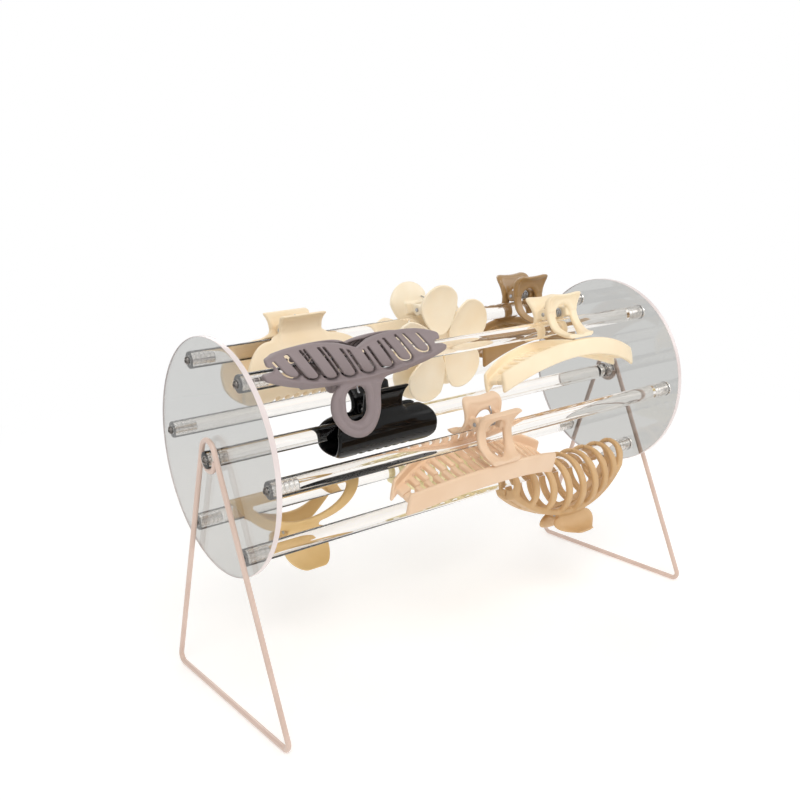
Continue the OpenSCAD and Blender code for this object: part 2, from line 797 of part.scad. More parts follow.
// A hinge pin
module pin() color(steel) bar_x(pin_r, -pin_l / 2, pin_l / 2);

// Centre line of a spring: a leg from the front plate, the coil, and a leg to the rear plate.
// foot is the point on the rear plate's face and lean the angle of that face's normal
function coil_path(foot, lean) =
    let (turn = 360 * curls,
        rings = round(8 * curls),
        stub = coil_wire * [cos(lean), -sin(lean)],
        up = [for (p = [foot, foot - stub, [coil_r, coil_r * 1.6], [coil_r, coil_r * 0.8]]) p])
    concat(
        [for (p = up) [-coil_l / 2, -p[0], p[1]]],
        [for (i = [0:rings]) let (a = 180 + turn * i / rings)
            [coil_l * (i / rings - 0.5), coil_r * cos(a), coil_r * sin(a)]],
        [for (i = [3:-1:0]) [coil_l / 2, up[i][0], up[i][1]]]);

// Sweeps a six sided wire of diameter d along a path that never runs along X
module sweep_wire(path, d) {
    n = len(path);
    sides = 6;
    points = [for (i = [0:n - 1])
        let (t = path[min(i + 1, n - 1)] - path[max(i - 1, 0)],
            u = cross(t, [1, 0, 0]) / norm(cross(t, [1, 0, 0])),
            v = cross(t, u) / norm(cross(t, u)))
        for (s = [0:sides - 1]) path[i] + d / 2 * (u * cos(360 * s / sides) + v * sin(360 * s / sides))];
    faces = concat(
        [for (i = [0:n - 2]) for (s = [0:sides - 1]) let (a = i * sides, b = a + sides, q = (s + 1) % sides)
            each [[a + s, b + q, a + q], [a + s, b + s, b + q]]],
        [for (s = [1:sides - 2]) [0, s, s + 1]],
        [for (s = [1:sides - 2]) let (b = (n - 1) * sides) [b, b + s + 1, b + s]]);
    polyhedron(points, faces);
}

// Least gap of a path's wire to itself, measured between points more than half a curl apart
function least_gap(path, d) = min([for (i = [0:len(path) - 1]) for (j = [i + 5:1:len(path) - 1])
    norm(path[i] - path[j])]) - d;

// A spring whose legs rest on thumb plates that flare at radius r
module flared_spring(r) color(steel) {
    a = asin(spring_foot / r);
    foot = [thumb_y + r * (1 - cos(a)), r * sin(a)];
    path = coil_path(foot, a);
    echo("least gap of a flared claw's spring to itself, mm", least_gap(path, coil_wire));
    sweep_wire(path, coil_wire);
}

// A spring whose legs rest on upright plates at the distance out from the pin
module upright_spring(out) color(steel) {
    path = coil_path([out, spring_foot], 0);
    echo("least gap of the upright claw's spring to itself, mm", least_gap(path, coil_wire));
    sweep_wire(path, coil_wire);
}

// Places of the claws on their rods; the last three hang by their closed tips
module at_cream() on_rod(1, cream_x, 0, seat_drop) children();
module at_wave() on_rod(2, wave_x, wave_tilt, seat_drop) children();
module at_black() on_rod(0, black_x, 0, seat_drop) children();
module at_flower() on_rod(1, flower_x, 0, seat_drop) children();
module at_khaki() on_rod(1, khaki_x, 0, seat_drop) children();
module at_ivory() on_rod(2, ivory_x, ivory_tilt, seat_drop) children();
module at_peach() on_rod(3, peach_x, peach_tilt, seat_drop) children();
module at_loop() on_rod(5, loop_x, 180, loop_h - tip_drop) children();
module at_ribbed() on_rod(4, ribbed_x, ribbed_tilt, ribbed_h - tip_drop) children();
module at_pale() on_rod(5, pale_x, 180, pale_h - tip_drop) children();

module cream_jaw(side, inner) color(cream) at_cream()
    plain_jaw(side, inner, cream_l, cream_h, cream_bulge,
        [cream_fan_h, cream_fan_w, cream_fan_waist], cream_flare_r, cream_sunk);

module cream_claw_front_jaw() cream_jaw(-1, false);
module cream_claw_rear_jaw() cream_jaw(1, true);
module cream_claw_pin() at_cream() pin();
module cream_claw_spring() at_cream() flared_spring(cream_flare_r);

module wave_claw_front_jaw() color(taupe) at_wave() wave_jaw(1, true, wave_l, wave_slots)
    thumb(lug_r, wave_flare_r) ring_outline();
module wave_claw_rear_jaw() color(taupe) at_wave() wave_jaw(-1, false, wave_rear_l, wave_slots - 2)
    thumb(lug_r, wave_flare_r) tongue_outline(wave_tab_w, wave_tab_h);
module wave_claw_pin() at_wave() pin();
module wave_claw_spring() at_wave() flared_spring(wave_flare_r);

module black_jaw(side, inner) color(black) at_black()
    plain_jaw(side, inner, black_l, black_h, black_bulge,
        [black_fan_h, black_fan_w, black_fan_waist], black_flare_r);

module black_claw_front_jaw() black_jaw(-1, true);
module black_claw_rear_jaw() black_jaw(1, false);
module black_claw_pin() at_black() pin();
module black_claw_spring() at_black() flared_spring(black_flare_r);

module flower_claw_front_jaw() color(ivory) at_flower() flower_jaw(-1, false);
module flower_claw_rear_jaw() color(ivory) at_flower() flower_jaw(1, true);
module flower_claw_pin() at_flower() pin();
module flower_claw_spring() at_flower() upright_spring(flower_out);

module khaki_claw_front_jaw() color(khaki) at_khaki() arched_jaw(-1, false, khaki_l, khaki_w, khaki_ring_h);
module khaki_claw_rear_jaw() color(khaki) at_khaki() arched_jaw(1, true, khaki_l, khaki_w, khaki_ring_h);
module khaki_claw_pin() at_khaki() pin();
module khaki_claw_spring() at_khaki() flared_spring(ring_flare_r);

module ivory_claw_front_jaw() color(ivory) at_ivory() arched_jaw(-1, true, ivory_l, ivory_w, ivory_ring_h);
module ivory_claw_rear_jaw() color(ivory) at_ivory() arched_jaw(1, false, ivory_l, ivory_w, ivory_ring_h);
module ivory_claw_pin() at_ivory() pin();
module ivory_claw_spring() at_ivory() flared_spring(ring_flare_r);

module peach_claw_front_jaw() color(peach) at_peach() arched_jaw(-1, true, peach_l, peach_w, peach_ring_h);
module peach_claw_rear_jaw() color(peach) at_peach() arched_jaw(1, false, peach_l, peach_w, peach_ring_h);
module peach_claw_pin() at_peach() pin();
module peach_claw_spring() at_peach() flared_spring(ring_flare_r);

module loop_claw_front_jaw() color(straw) at_loop() loop_jaw(1, true);
module loop_claw_rear_jaw() color(straw) at_loop() loop_jaw(-1, false);
module loop_claw_pin() at_loop() pin();
module loop_claw_spring() at_loop() flared_spring(tongue_flare_r);

module sand_jaw(side, inner) color(sand) at_ribbed()
    ribbed_jaw(side, inner, ribbed_l, ribbed_h, ribbed_end_h, ribs, rib_w, [paddle_w, paddle_h]);

module ribbed_claw_front_jaw() sand_jaw(1, true);
module ribbed_claw_rear_jaw() sand_jaw(-1, false);
module ribbed_claw_pin() at_ribbed() pin();
module ribbed_claw_spring() at_ribbed() flared_spring(paddle_flare_r);

module pale_jaw(side, inner) color(pale) at_pale()
    ribbed_jaw(side, inner, pale_l, pale_h, pale_end_h, pale_ribs, pale_rib_w,
        [pale_paddle_w, pale_paddle_h]);

module pale_claw_front_jaw() pale_jaw(1, false);
module pale_claw_rear_jaw() pale_jaw(-1, true);
module pale_claw_pin() at_pale() pin();
module pale_claw_spring() at_pale() flared_spring(paddle_flare_r);

left_disc();
right_disc();
rod_1();
rod_2();
rod_3();
rod_4();
rod_5();
rod_6();
axle();
left_stand();
right_stand();
left_screws();
right_screws();
left_inserts();
right_inserts();
cream_claw_front_jaw();
cream_claw_rear_jaw();
cream_claw_pin();
cream_claw_spring();
wave_claw_front_jaw();
wave_claw_rear_jaw();
wave_claw_pin();
wave_claw_spring();
black_claw_front_jaw();
black_claw_rear_jaw();
black_claw_pin();
black_claw_spring();
flower_claw_front_jaw();
flower_claw_rear_jaw();
flower_claw_pin();
flower_claw_spring();
khaki_claw_front_jaw();
khaki_claw_rear_jaw();
khaki_claw_pin();
khaki_claw_spring();
ivory_claw_front_jaw();
ivory_claw_rear_jaw();
ivory_claw_pin();
ivory_claw_spring();
peach_claw_front_jaw();
peach_claw_rear_jaw();
peach_claw_pin();
peach_claw_spring();
loop_claw_front_jaw();
loop_claw_rear_jaw();
loop_claw_pin();
loop_claw_spring();
ribbed_claw_front_jaw();
ribbed_claw_rear_jaw();
ribbed_claw_pin();
ribbed_claw_spring();
pale_claw_front_jaw();
pale_claw_rear_jaw();
pale_claw_pin();
pale_claw_spring();
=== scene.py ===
"""Rotating rack of clear acrylic with ten hair claws on its rods.

Everything is laid out in millimetres and turned into metres when a mesh is made.
X runs along the axle, Y away from the front, Z up from the table.
"""
import itertools
import math

import bpy
import numpy as np
from mathutils import Matrix, Vector


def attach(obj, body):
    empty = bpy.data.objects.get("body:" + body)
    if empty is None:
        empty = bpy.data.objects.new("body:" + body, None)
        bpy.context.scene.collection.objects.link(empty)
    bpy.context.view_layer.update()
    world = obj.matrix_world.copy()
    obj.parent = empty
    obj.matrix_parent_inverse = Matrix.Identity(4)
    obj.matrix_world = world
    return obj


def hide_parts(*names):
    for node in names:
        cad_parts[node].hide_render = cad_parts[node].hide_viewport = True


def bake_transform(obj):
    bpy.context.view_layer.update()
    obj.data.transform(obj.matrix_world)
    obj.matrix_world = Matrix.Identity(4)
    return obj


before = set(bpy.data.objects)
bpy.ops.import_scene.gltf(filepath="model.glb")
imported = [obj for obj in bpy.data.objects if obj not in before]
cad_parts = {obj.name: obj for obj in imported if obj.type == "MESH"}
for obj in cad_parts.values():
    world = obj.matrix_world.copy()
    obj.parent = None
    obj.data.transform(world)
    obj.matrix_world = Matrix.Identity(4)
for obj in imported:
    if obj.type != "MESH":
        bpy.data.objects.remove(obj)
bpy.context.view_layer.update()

# Sizes

DISC_D, DISC_T = 128, 3
ROD_L, ROD_D = 298, 9.5
PITCH_R, ROD_TURN = 53.8, 65.2      # the rods' pitch circle, and the angle of rod 1 in degrees
AXLE_H, AXLE_PAST = 140.8, 0.8      # above the table, and past the stands' wire
HEAD_D, HEAD_H, SHANK_D, SHANK_L = 6.6, 1.2, 3, 12
INSERT_D, INSERT_L = 4.8, 14
WIRE_D = 3

PIN_D, LUG_R, LUG_W = 2.4, 3.6, 3
COIL_WIRE, COIL_R, COIL_PITCH, CURLS = 0.9, 2.4, 1.5, 4.5
SHELL = 2.6         # thickness of the claws' plates
TOOTH_GAP = 3       # width of the gaps between teeth, and of the teeth

# from a claw to its rod, round a pin, beside a lug, and from a jaw to the middle plane
SEAT_GAP, RUN_GAP, SIDE_GAP, SEAM = 0.35, 0.08, 0.4, 0.25
PRESS = 0.02        # by which the outer lugs grip the pin
ROD_R = ROD_D / 2
DISC_X = ROD_L / 2
END_X = DISC_X + DISC_T
AXLE_END = END_X + HEAD_H + SIDE_GAP + WIRE_D + AXLE_PAST
SEAT_DROP = LUG_R + SEAT_GAP + ROD_R
TIP_DROP = SHELL + SEAT_GAP + ROD_R
COIL_L = CURLS * COIL_PITCH
SPRING_FOOT = 2.6 * COIL_R      # height at which the spring's legs meet the thumb plates
INNER_LUG_X = (COIL_L + COIL_WIRE) / 2 + SIDE_GAP
OUTER_LUG_X = INNER_LUG_X + LUG_W + SIDE_GAP
PIN_L = 2 * (OUTER_LUG_X + LUG_W + SIDE_GAP)
HINGE_KEEP = LUG_R + SIDE_GAP
THUMB_Y = HINGE_KEEP + 0.2

EDGE = 1.0          # radius of the moulded plates' edges
GRID = 0.62          # grid step of the claws' surfaces
HEAD_GRID = 0.17    # grid step of the screws' heads

# the arched claws' bow: how far its middle and its ends stand out from the pin, how far its
# top lies below the pin, and how much lower its ends hang
BOW = dict(out=19.5, tip_out=9, top=17, drop=12.5)

# Each claw: its family, the rod that it is on, its place along X, its tilt and its
# distance from pin to rod, which jaw turns, which jaw has the inner lugs, and its sizes.
# A jaw's side is -1 where it lies towards the local -Y, which faces the front at tilt 0.
CLAWS = {
    "cream": dict(family="plain", rod=1, x=64 - DISC_X, tilt=0, drop=SEAT_DROP, turns="rear",
                  inner="rear", length=80, h=40, bulge=15, fan=(9, 29, 27), sunk=4.4, flare_r=12),
    "wave": dict(family="wave", rod=2, x=64 - DISC_X, tilt=188, drop=SEAT_DROP, turns="front",
                 inner="front", length=114, rear_length=78, h=24, bulge=9.5, flare_r=60),
    "black": dict(family="plain", rod=0, x=102 - DISC_X, tilt=0, drop=SEAT_DROP, turns="front",
                  inner="front", length=70, h=25, bulge=12.5, fan=(13, 31, 27), sunk=0, flare_r=20),
    "flower": dict(family="flower", rod=1, x=162 - DISC_X, tilt=0, drop=SEAT_DROP, turns="rear",
                   inner="rear", flare_r=0),
    "khaki": dict(family="arched", rod=1, x=DISC_X - 56, tilt=0, drop=SEAT_DROP, turns="rear",
                  inner="rear", length=86, bow=11, ring_h=14.5, flare_r=20),
    "ivory": dict(family="arched", rod=2, x=DISC_X - 79, tilt=-9, drop=SEAT_DROP, turns="front",
                  inner="front", length=114, bow=10.5, ring_h=12.5, flare_r=16),
    "peach": dict(family="arched", rod=3, x=138 - DISC_X, tilt=18, drop=SEAT_DROP, turns="front",
                  inner="front", length=111, bow=12.5, ring_h=12.5, flare_r=16),
    "loop": dict(family="loop", rod=5, x=62 - DISC_X, tilt=180, drop=28 - TIP_DROP, turns="front",
                 inner="front", length=86, h=28, bulge=12, flare_r=24),
    "ribbed": dict(family="ribbed", rod=4, x=DISC_X - 67, tilt=172, drop=40 - TIP_DROP,
                   turns="front", inner="front", length=101, h=40, end_h=19, ribs=9, rib_w=4.8,
                   paddle=(34, 11.5), flare_r=13),
    "pale": dict(family="ribbed", rod=5, x=DISC_X - 123, tilt=180, drop=27 - TIP_DROP,
                 turns="rear", inner="rear", length=80, h=27, end_h=18, ribs=9, rib_w=4,
                 paddle=(26, 9), flare_r=13),
}


def rod_place(k):
    """Y and Z of outer rod k, or of the axle, which is 0."""
    a = math.radians(ROD_TURN + 60 * (k - 1))
    return (0, AXLE_H) if k == 0 else (PITCH_R * math.cos(a), AXLE_H + PITCH_R * math.sin(a))


def arc_r(half, rise):
    """Radius of the arc with this half chord and this rise."""
    return (half * half + rise * rise) / (2 * rise)


def claw_matrix(claw):
    """From a claw's own frame, its pin along X at the origin, to the row frame, in mm."""
    y, z = rod_place(claw["rod"])
    return (Matrix.Translation((claw["x"], y, z))
            @ Matrix.Rotation(math.radians(claw["tilt"]), 4, "X")
            @ Matrix.Translation((0, 0, claw["drop"])))


# Distance fields

# A field is negative inside. In a jaw's frame its plate lies towards -Y, its thumb
# plate up and its tips down.

def both(a, b, r=0.0):
    """Where a and b meet, with the edge between them rounded."""
    return np.minimum(np.maximum(a, b), -r) + np.hypot(np.maximum(a + r, 0), np.maximum(b + r, 0))


def either(a, b, r=0.0):
    """a joined to b, with a fillet between them."""
    return np.maximum(np.minimum(a, b), r) - np.hypot(np.maximum(r - a, 0), np.maximum(r - b, 0))


def cut(a, b, r=0.0):
    """a without b."""
    return both(a, -b, r)


def disk(u, v, cu, cv, r):
    """A disk round (cu, cv), or a cylinder along the third axis."""
    return np.hypot(u - cu, v - cv) - r


def slab(u, lo, hi):
    """All that lies between two planes."""
    return np.maximum(lo - u, u - hi)


def stadium(u, v, lo, hi, r):
    """A bar along v with round ends whose centres are at lo and hi."""
    return np.hypot(u, v - np.clip(v, lo, hi)) - r


def plate(outer, thickness=SHELL):
    """A plate of this thickness whose outer face is where outer is zero."""
    return np.abs(outer + thickness / 2) - thickness / 2


# Jaws

# The function of each family takes a claw, the side of the jaw and whether it has the inner
# lugs. It returns the jaw's field and how far it reaches along X, outwards, down and up.

def lugs(x, y, z, inner, web_y):
    """Two hinge barrels and the webs that join them to the plates."""
    start, soft, web_half = INNER_LUG_X if inner else OUTER_LUG_X, 0.5, LUG_R * 0.75
    along = np.abs(np.abs(x) - (start + LUG_W / 2)) - LUG_W / 2
    barrel = both(np.hypot(y, z) - LUG_R, along, soft)
    web = both(both(np.abs(z) - web_half, slab(y, -web_y, 0)), along, soft)
    return np.minimum(barrel, web)


def with_hinge(x, y, z, plates, inner, web_y=THUMB_Y + SHELL / 2):
    """Plates cut clear of the hinge, with their lugs, bored for the pin."""
    axis = np.hypot(y, z)
    body = cut(plates, axis - HINGE_KEEP, 0.4)
    body = either(body, lugs(x, y, z, inner, web_y), 0.35)
    return cut(body, axis - (PIN_D / 2 + (RUN_GAP if inner else -PRESS)))


def thumb(y, z, outline, r, bead=0.0):
    """A thumb plate that flares at radius r, cut to its outline, with a bead along its edge."""
    centre = -THUMB_Y - r
    flared = plate(np.hypot(y - centre, z) - r)
    body = both(flared, outline, EDGE)
    if bead:
        # the bead is a round bar along the upper part of the edge
        bar = np.hypot(flared + SHELL / 2, outline + bead) - bead
        body = either(body, np.maximum(bar, 1 - z), 0.6)
    return np.maximum(body, centre - y)


def shell(y, z, h, bulge):
    """A jaw's curved plate from its pin down to its tips at depth h."""
    r = arc_r(h / 2, bulge)
    curved = plate(np.hypot(y - (r - bulge), z + h / 2) - r)
    return both(curved, np.maximum(y + SEAM, slab(z, -h, 0.5)), 0.5)


def tooth_gaps(x, z, length, top, side):
    """Gaps between the teeth along a jaw's tips, below top."""
    pitch, r = 2 * TOOTH_GAP, TOOTH_GAP / 2
    # the teeth of one jaw stand in the gaps of the other
    along = x - (r if side > 0 else 0)
    n = math.floor(length / pitch / 2)
    nearest = np.clip(np.round(along / pitch), -n, n)
    return stadium(along - nearest * pitch, z, -99, top - r, r)


def fan_outline(x, z, fan, foot, soft):
    """A fan of this height, width and waist, from foot below the pin to its rim."""
    height, width, waist = fan
    u = np.abs(x)
    r = arc_r((height + foot) / 2, (width - waist) / 2)
    side = disk(u, z, waist / 2 + r, (height - foot) / 2, r)
    body = both(u - width / 2, z - height, soft)
    return both(cut(body, side, soft * 0.5), -foot - z)


def plain_jaw(claw, side, inner):
    """Rounded plate with a fan shaped thumb plate and short teeth."""
    length, h, sunk = claw["length"], claw["h"], claw["sunk"]
    foot = max(sunk + 1, LUG_R)
    fan_soft, bead, shoulder_r, root = 1.6, 1.5, 9, h * 0.88

    def field(x, y, z):
        u = np.abs(x)
        low = both(u - length / 2, -h - z, h * 0.3)
        high = both(u - length / 2, z + sunk, h * 0.5)
        outline = np.maximum(low, high)
        fan = fan_outline(x, z, claw["fan"], foot, fan_soft)
        if sunk:
            # the plate's shoulders sweep up into the fan
            outline = either(outline, fan, shoulder_r)
        body = both(shell(y, z, h, claw["bulge"]), outline, EDGE)
        body = cut(body, tooth_gaps(x, z, length - h, -root, side), 0.5)
        body = either(body, thumb(y, z, fan, claw["flare_r"], bead), 2.4)
        return with_hinge(x, y, z, body, inner)
    return field, (length / 2, claw["bulge"] + 3, h, claw["fan"][0] + 0.5)


def drop_outline(u, z, low, high, r_low, r_high):
    """Two circles, at heights low and high on the middle line, and their tangents."""
    slope = (r_low - r_high) / (high - low)
    side = math.sqrt(1 - slope * slope)
    along = (z - low) * side - u * slope
    straight = u * side + (z - low) * slope - r_low
    ends = np.where(along < 0, disk(u, z, 0, low, r_low), disk(u, z, 0, high, r_high))
    return np.where((along >= 0) & (along <= (high - low) * side), straight, ends)


def wave_jaw(claw, side, inner):
    """Two leaves of long fingers with forked ends, a raised rim and a thumb plate."""
    # the jaw at the front is the longer one and carries the ring
    ringed = side == front_side(claw)
    length, fingers = (claw["length"], 8) if ringed else (claw["rear_length"], 6)
    half, h = length / 2, claw["h"]
    leaf_r, back_r = arc_r(half / 2, h * 0.2), arc_r(half, h * 0.52)
    step = length * 0.72 / (fingers - 1)
    finger_r, gap_half, border = step * 0.29, 0.62, 1.9
    slant, curl, curl_z, shift, foot_drop = side * 0.78, side * 0.014, -6, side * 2.4, 5.2
    fork_z, fork_l, fork_half, fork_flare, prong_cut = -h * 0.66, 7, 0.9, 0.12, 3
    rim_h, rim_w, rim_slope = 1.6, 5, 1.4
    ring_h, low_r, high_r, hole_r, hole_l, bead = 28, 15.5, 14.5, 7, 5, 2.2
    sweep_half, sweep_r, sweep_more, sweep_x = 34, 2, 12, 8
    tab_w, tab_h = 22, 8
    r = arc_r(h / 2, claw["bulge"])

    def field(x, y, z):
        u = np.abs(x)
        back = disk(x, z, 0, 1 - back_r, back_r)
        leaf = disk(u, z, half / 2, leaf_r - h, leaf_r)
        outline = both(both(back, leaf, 1.5), u - half, 1.5)
        from_notch = u - half + fork_l
        notch = both(np.abs(z - fork_z) - fork_half - from_notch * fork_flare, -from_notch, 1)
        outline = cut(outline, notch, 0.8)
        # the prong on the side of the tips is the shorter one
        outline = cut(outline, np.maximum(z - fork_z, half - prong_cut - u), 0.8)
        # each finger is free at its round end by the rim, and a narrow gap runs round it
        for i in range(fingers):
            xs = (i - (fingers - 1) / 2) * step + shift
            foot = 1 - back_r + math.sqrt(back_r ** 2 - xs * xs) - foot_drop
            along = z - foot
            across = (x - xs - slant * along - curl * (along - curl_z) ** 2) * 0.8
            finger = np.hypot(across, np.maximum(along + finger_r, 0)) - finger_r
            gap = np.maximum(np.abs(finger) - gap_half, leaf + border)
            outline = cut(outline, gap, 0.25)
        # the rim stands proud of the plate along the back
        rise = np.clip((back + rim_w) / rim_slope, 0, 1)
        rim = rim_h * rise * rise * (3 - 2 * rise)
        curved = np.hypot(y - (r - claw["bulge"]), z + h / 2) - r
        curved = np.maximum(curved - rim, -curved - SHELL)
        curved = both(curved, np.maximum(y + SEAM, slab(z, -h, 1)), 0.5)
        body = both(curved, outline, 0.8)
        if ringed:
            low, high = low_r - LUG_R, ring_h - high_r
            ring = drop_outline(u, z, low, high, low_r, high_r)
            # its outer side sweeps out along the back
            reach = sweep_r + sweep_more * np.clip(side * x / sweep_x, 0, 1)
            ring = either(ring, np.maximum(z + 2, u - sweep_half), reach)
            hole = stadium(x, z, high - hole_l, high, hole_r)
            plate_2d = cut(both(ring, -LUG_R - z, 1), hole, 0.8)
            body = either(body, thumb(y, z, plate_2d, claw["flare_r"], bead), 1.5)
        else:
            tab = both(tongue_outline(x, z, tab_w, tab_h), -LUG_R - z, 1)
            body = either(body, thumb(y, z, tab, claw["flare_r"]), 1.5)
        return with_hinge(x, y, z, body, inner)
    return field, (half, claw["bulge"] + 2.5, h, (ring_h if ringed else tab_h) + 0.5)


def flower_jaw(claw, side, inner):
    """Five dished petals round a middle, on a plate that leans in at the tips."""
    ring_r, petal_r, drop, out = 24.5, 14.6, 21.5, 13
    first, lean = math.radians(29), math.radians(9)
    dish_h, lift, petal_in, petal_t = 2.6, 0.5, 1.2, SHELL * 0.8
    middle_r, middle_in = ring_r * 0.5, 1.4
    prong_half, prong_l, prong_drop = TOOTH_GAP / 2, (out - 3.4 - SEAM) * 0.5, drop * 0.7
    bridge = OUTER_LUG_X + LUG_W

    def field(x, y, z):
        # v runs up the plate and w out of its face
        w = -((y + out) * math.cos(lean) + z * math.sin(lean))
        v = z * math.cos(lean) - (y + out) * math.sin(lean) + drop
        body = None
        for i in range(5):
            a = first + math.radians(72 * i)
            along = x * math.cos(a) + v * math.sin(a) - ring_r
            across = -x * math.sin(a) + v * math.cos(a)
            # a petal narrows towards the middle and is dished, and every other one lies higher
            rho = np.hypot(np.where(along > 0, along * 1.05, along * 0.8),
                           across * (1.05 - 0.016 * np.clip(along, -16, 4)))
            dish = dish_h * np.clip(rho / petal_r, 0, 1.05) ** 3 + lift * (i % 2)
            petal = both(np.abs(w - dish + petal_in) - petal_t / 2, rho - petal_r, 0.8)
            body = petal if body is None else either(body, petal, 0.3)
        middle = both(np.abs(w + middle_in) - SHELL / 2, np.hypot(x, v) - middle_r, 0.9)
        body = either(body, middle, 1.0)
        bar = both(np.abs(z) - LUG_R, np.abs(x) - bridge, 0.6)
        bar = both(bar, slab(y, 0.4 - out, 3 - out), 0.6)
        body = either(body, bar, 1.0)
        # two prongs behind the middle hold the hair
        for i in (-1, 1):
            px = i * 2 * TOOTH_GAP + side * prong_half
            prong = both(np.abs(x - px) - prong_half, np.abs(v + prong_drop) - prong_half, 0.5)
            body = either(body, both(prong, slab(w, -prong_l, 0), 0.5), 0.8)
        return with_hinge(x, y, z, body, inner, out - 1)
    reach = ring_r + petal_r
    return field, (reach, out + 7, drop + reach, reach - drop)


def arched_jaw(claw, side, inner):
    """A curved bow, a comb of teeth behind it and a horned thumb plate with a hole."""
    length, width, ring_h = claw["length"], claw["bow"], claw["ring_h"]
    half = length / 2
    ring_w, hole_r, bead = 28, 6.8, 1.7
    belly, saddle_r, saddle_depth = ring_w * 0.45, ring_w * 1.3, 1.2
    foot = BOW["top"] + 3
    arc = arc_r(half, BOW["drop"])
    plan = arc_r(half, BOW["out"] - BOW["tip_out"])
    crown_h, comb_short, root = 0.5, 6, SHELL + 1.5
    hole_top = SPRING_FOOT - COIL_WIRE - 0.6 - hole_r
    hole_foot = hole_r + 5.5 - foot

    def field(x, y, z):
        u = np.abs(x)
        bend = np.hypot(x, z + BOW["top"] + arc)
        strip = both(slab(bend, arc - width, arc), u - half, 1.2)
        curved = np.hypot(x, y - (plan - BOW["out"])) - plan
        off_middle = np.abs(bend - arc + width / 2) / (width / 2)
        crown = crown_h * (1 - np.clip(off_middle, 0, 1) ** 2)
        bow = both(np.maximum(curved - crown + crown_h, -curved - SHELL), strip, EDGE)
        bow = np.maximum(bow, y)
        comb = both(slab(bend + width * 0.45, arc - SHELL, arc), u - (half - 2), 0.6)
        comb = both(comb, np.maximum(curved + SHELL / 2, y + SEAM), 0.5)
        comb = cut(comb, tooth_gaps(x, curved, length - 2 * comb_short, -root, side), 0.4)
        body = either(bow, comb, 0.6)
        # the thumb plate: a long ring with soft horned upper corners
        t = np.clip((z + 2) / (ring_h + 2), 0, 1)
        waist = belly + (ring_w / 2 + 0.3 - belly) * t * t * (3 - 2 * t)
        low = disk(u, z, 0, belly - foot, belly)
        sides = both(np.maximum(u - waist, belly - foot - z), z - ring_h, 6)
        saddle = disk(x, z, 0, ring_h - saddle_depth + saddle_r, saddle_r)
        ring = cut(np.minimum(low, sides), saddle, 3.6)
        ring = cut(ring, stadium(x, z, hole_foot, hole_top, hole_r), 0.5)
        body = either(body, thumb(y, z, ring, claw["flare_r"], bead), 1.6)
        return with_hinge(x, y, z, body, inner)
    return field, (half, BOW["out"] + 1, BOW["top"] + BOW["drop"] + width + 1, ring_h + 0.5)


def loop_jaw(claw, side, inner):
    """A half moon frame with a tongue shaped thumb plate."""
    h, band = claw["h"], 6.5
    tongue_w, tongue_h = 30, 20
    top = -LUG_R * 0.4
    r = arc_r(claw["length"] / 2, h + top)

    def field(x, y, z):
        moon = disk(x, z, 0, top - r, r)
        window = both(disk(x, z, 0, top - r, r - band), band * 0.7 - h - z, 2)
        outline = cut(both(moon, -h - z, 1.5), window, 0.5)
        body = both(shell(y, z, h, claw["bulge"]), outline, 1.1)
        tongue = tongue_outline(x, z, tongue_w, tongue_h)
        body = either(body, thumb(y, z, tongue, claw["flare_r"]), 2)
        return with_hinge(x, y, z, body, inner)
    return field, (claw["length"] / 2, claw["bulge"] + 8, h, tongue_h)


def neck_outline(x, z, top):
    """A neck as wide as the lugs, from their foot up to top."""
    return both(np.abs(x) - (OUTER_LUG_X + LUG_W), slab(z, -LUG_R, top), 0.5)


def tongue_outline(x, z, w, h):
    """A tongue with a round end, on its neck."""
    top = both(both(np.abs(x) - w / 2, z - h, min(w, h) * 0.49), -z, 3)
    return either(top, neck_outline(x, z, h / 2), 2)


def ribbed_jaw(claw, side, inner):
    """Half round ribs with pointed tips that hang from an arched back."""
    length, h, end_h, count, rib_w = (claw[k] for k in ("length", "h", "end_h", "ribs", "rib_w"))
    half, back_r = length / 2, arc_r(length / 2, h - end_h)
    rib_t, point, point_l = SHELL * 1.15, 0.7, 9
    band_h, band_out = SHELL * 1.6, LUG_R * 2.4
    (paddle_w, paddle_h), bead = claw["paddle"], 1.4
    tall = paddle_h / 2 + 1

    def field(x, y, z):
        body = None
        for i in range(count):
            x0 = (i - (count - 1) / 2) * (length - rib_w) / (count - 1)
            depth = h - (h - end_h) * (x0 / half) ** 2
            top, r = depth - h, depth / 2
            ring = plate(np.hypot(y, z - top + r) - r, rib_t)
            # ribs narrow to a point near their tips
            near = np.clip((z - top + depth) / point_l, 0, 1)
            across = np.abs(x - x0) - (point + (rib_w / 2 - point) * near ** 0.6)
            rib = np.maximum(both(ring, across, 1.2), y + SEAM)
            body = rib if body is None else np.minimum(body, rib)
        bend = np.hypot(x, z + back_r)
        band = both(slab(bend, back_r - band_h, back_r), slab(y, -band_out - SEAM, -SEAM), 1.4)
        band = both(band, np.maximum(np.abs(x) - half, -back_r - z), 1)
        body = either(body, band, 1.4)
        # an oval paddle on a narrow neck between the lugs
        oval = (np.hypot(x * 2 / paddle_w, (z - paddle_h + tall) / tall) - 1) * tall
        paddle = either(oval, neck_outline(x, z, paddle_h / 2), 2)
        body = either(body, thumb(y, z, paddle, claw["flare_r"], bead), 1.8)
        return with_hinge(x, y, z, body, inner)
    return field, (half, max(h / 2, 16), h, paddle_h + 0.5)


# Meshes

